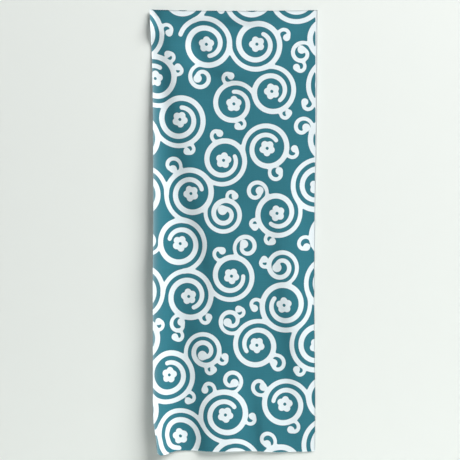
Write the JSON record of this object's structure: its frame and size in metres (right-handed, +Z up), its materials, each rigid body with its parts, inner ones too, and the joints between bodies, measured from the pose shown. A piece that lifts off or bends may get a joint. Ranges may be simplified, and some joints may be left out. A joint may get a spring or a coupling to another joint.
{
  "type": "tenugui towel",
  "caption": "Long rectangular hand towel of thin dyed cotton, held along its top edge and hanging nearly flat, with soft folds down one side.",
  "frame": {"origin": "middle of the cloth's top edge, at the middle of its thickness, where it is held", "axes": "+Z up along the hang, -Y the way the dyed face looks, +X to the right seen from the front"},
  "size_m": [0.351, 0.034, 0.9247],
  "materials": {
    "dyed_cotton": "matte"
  },
  "bodies": {
    "root": {"towel_cloth": "dyed_cotton"}
  },
  "joints": []
}
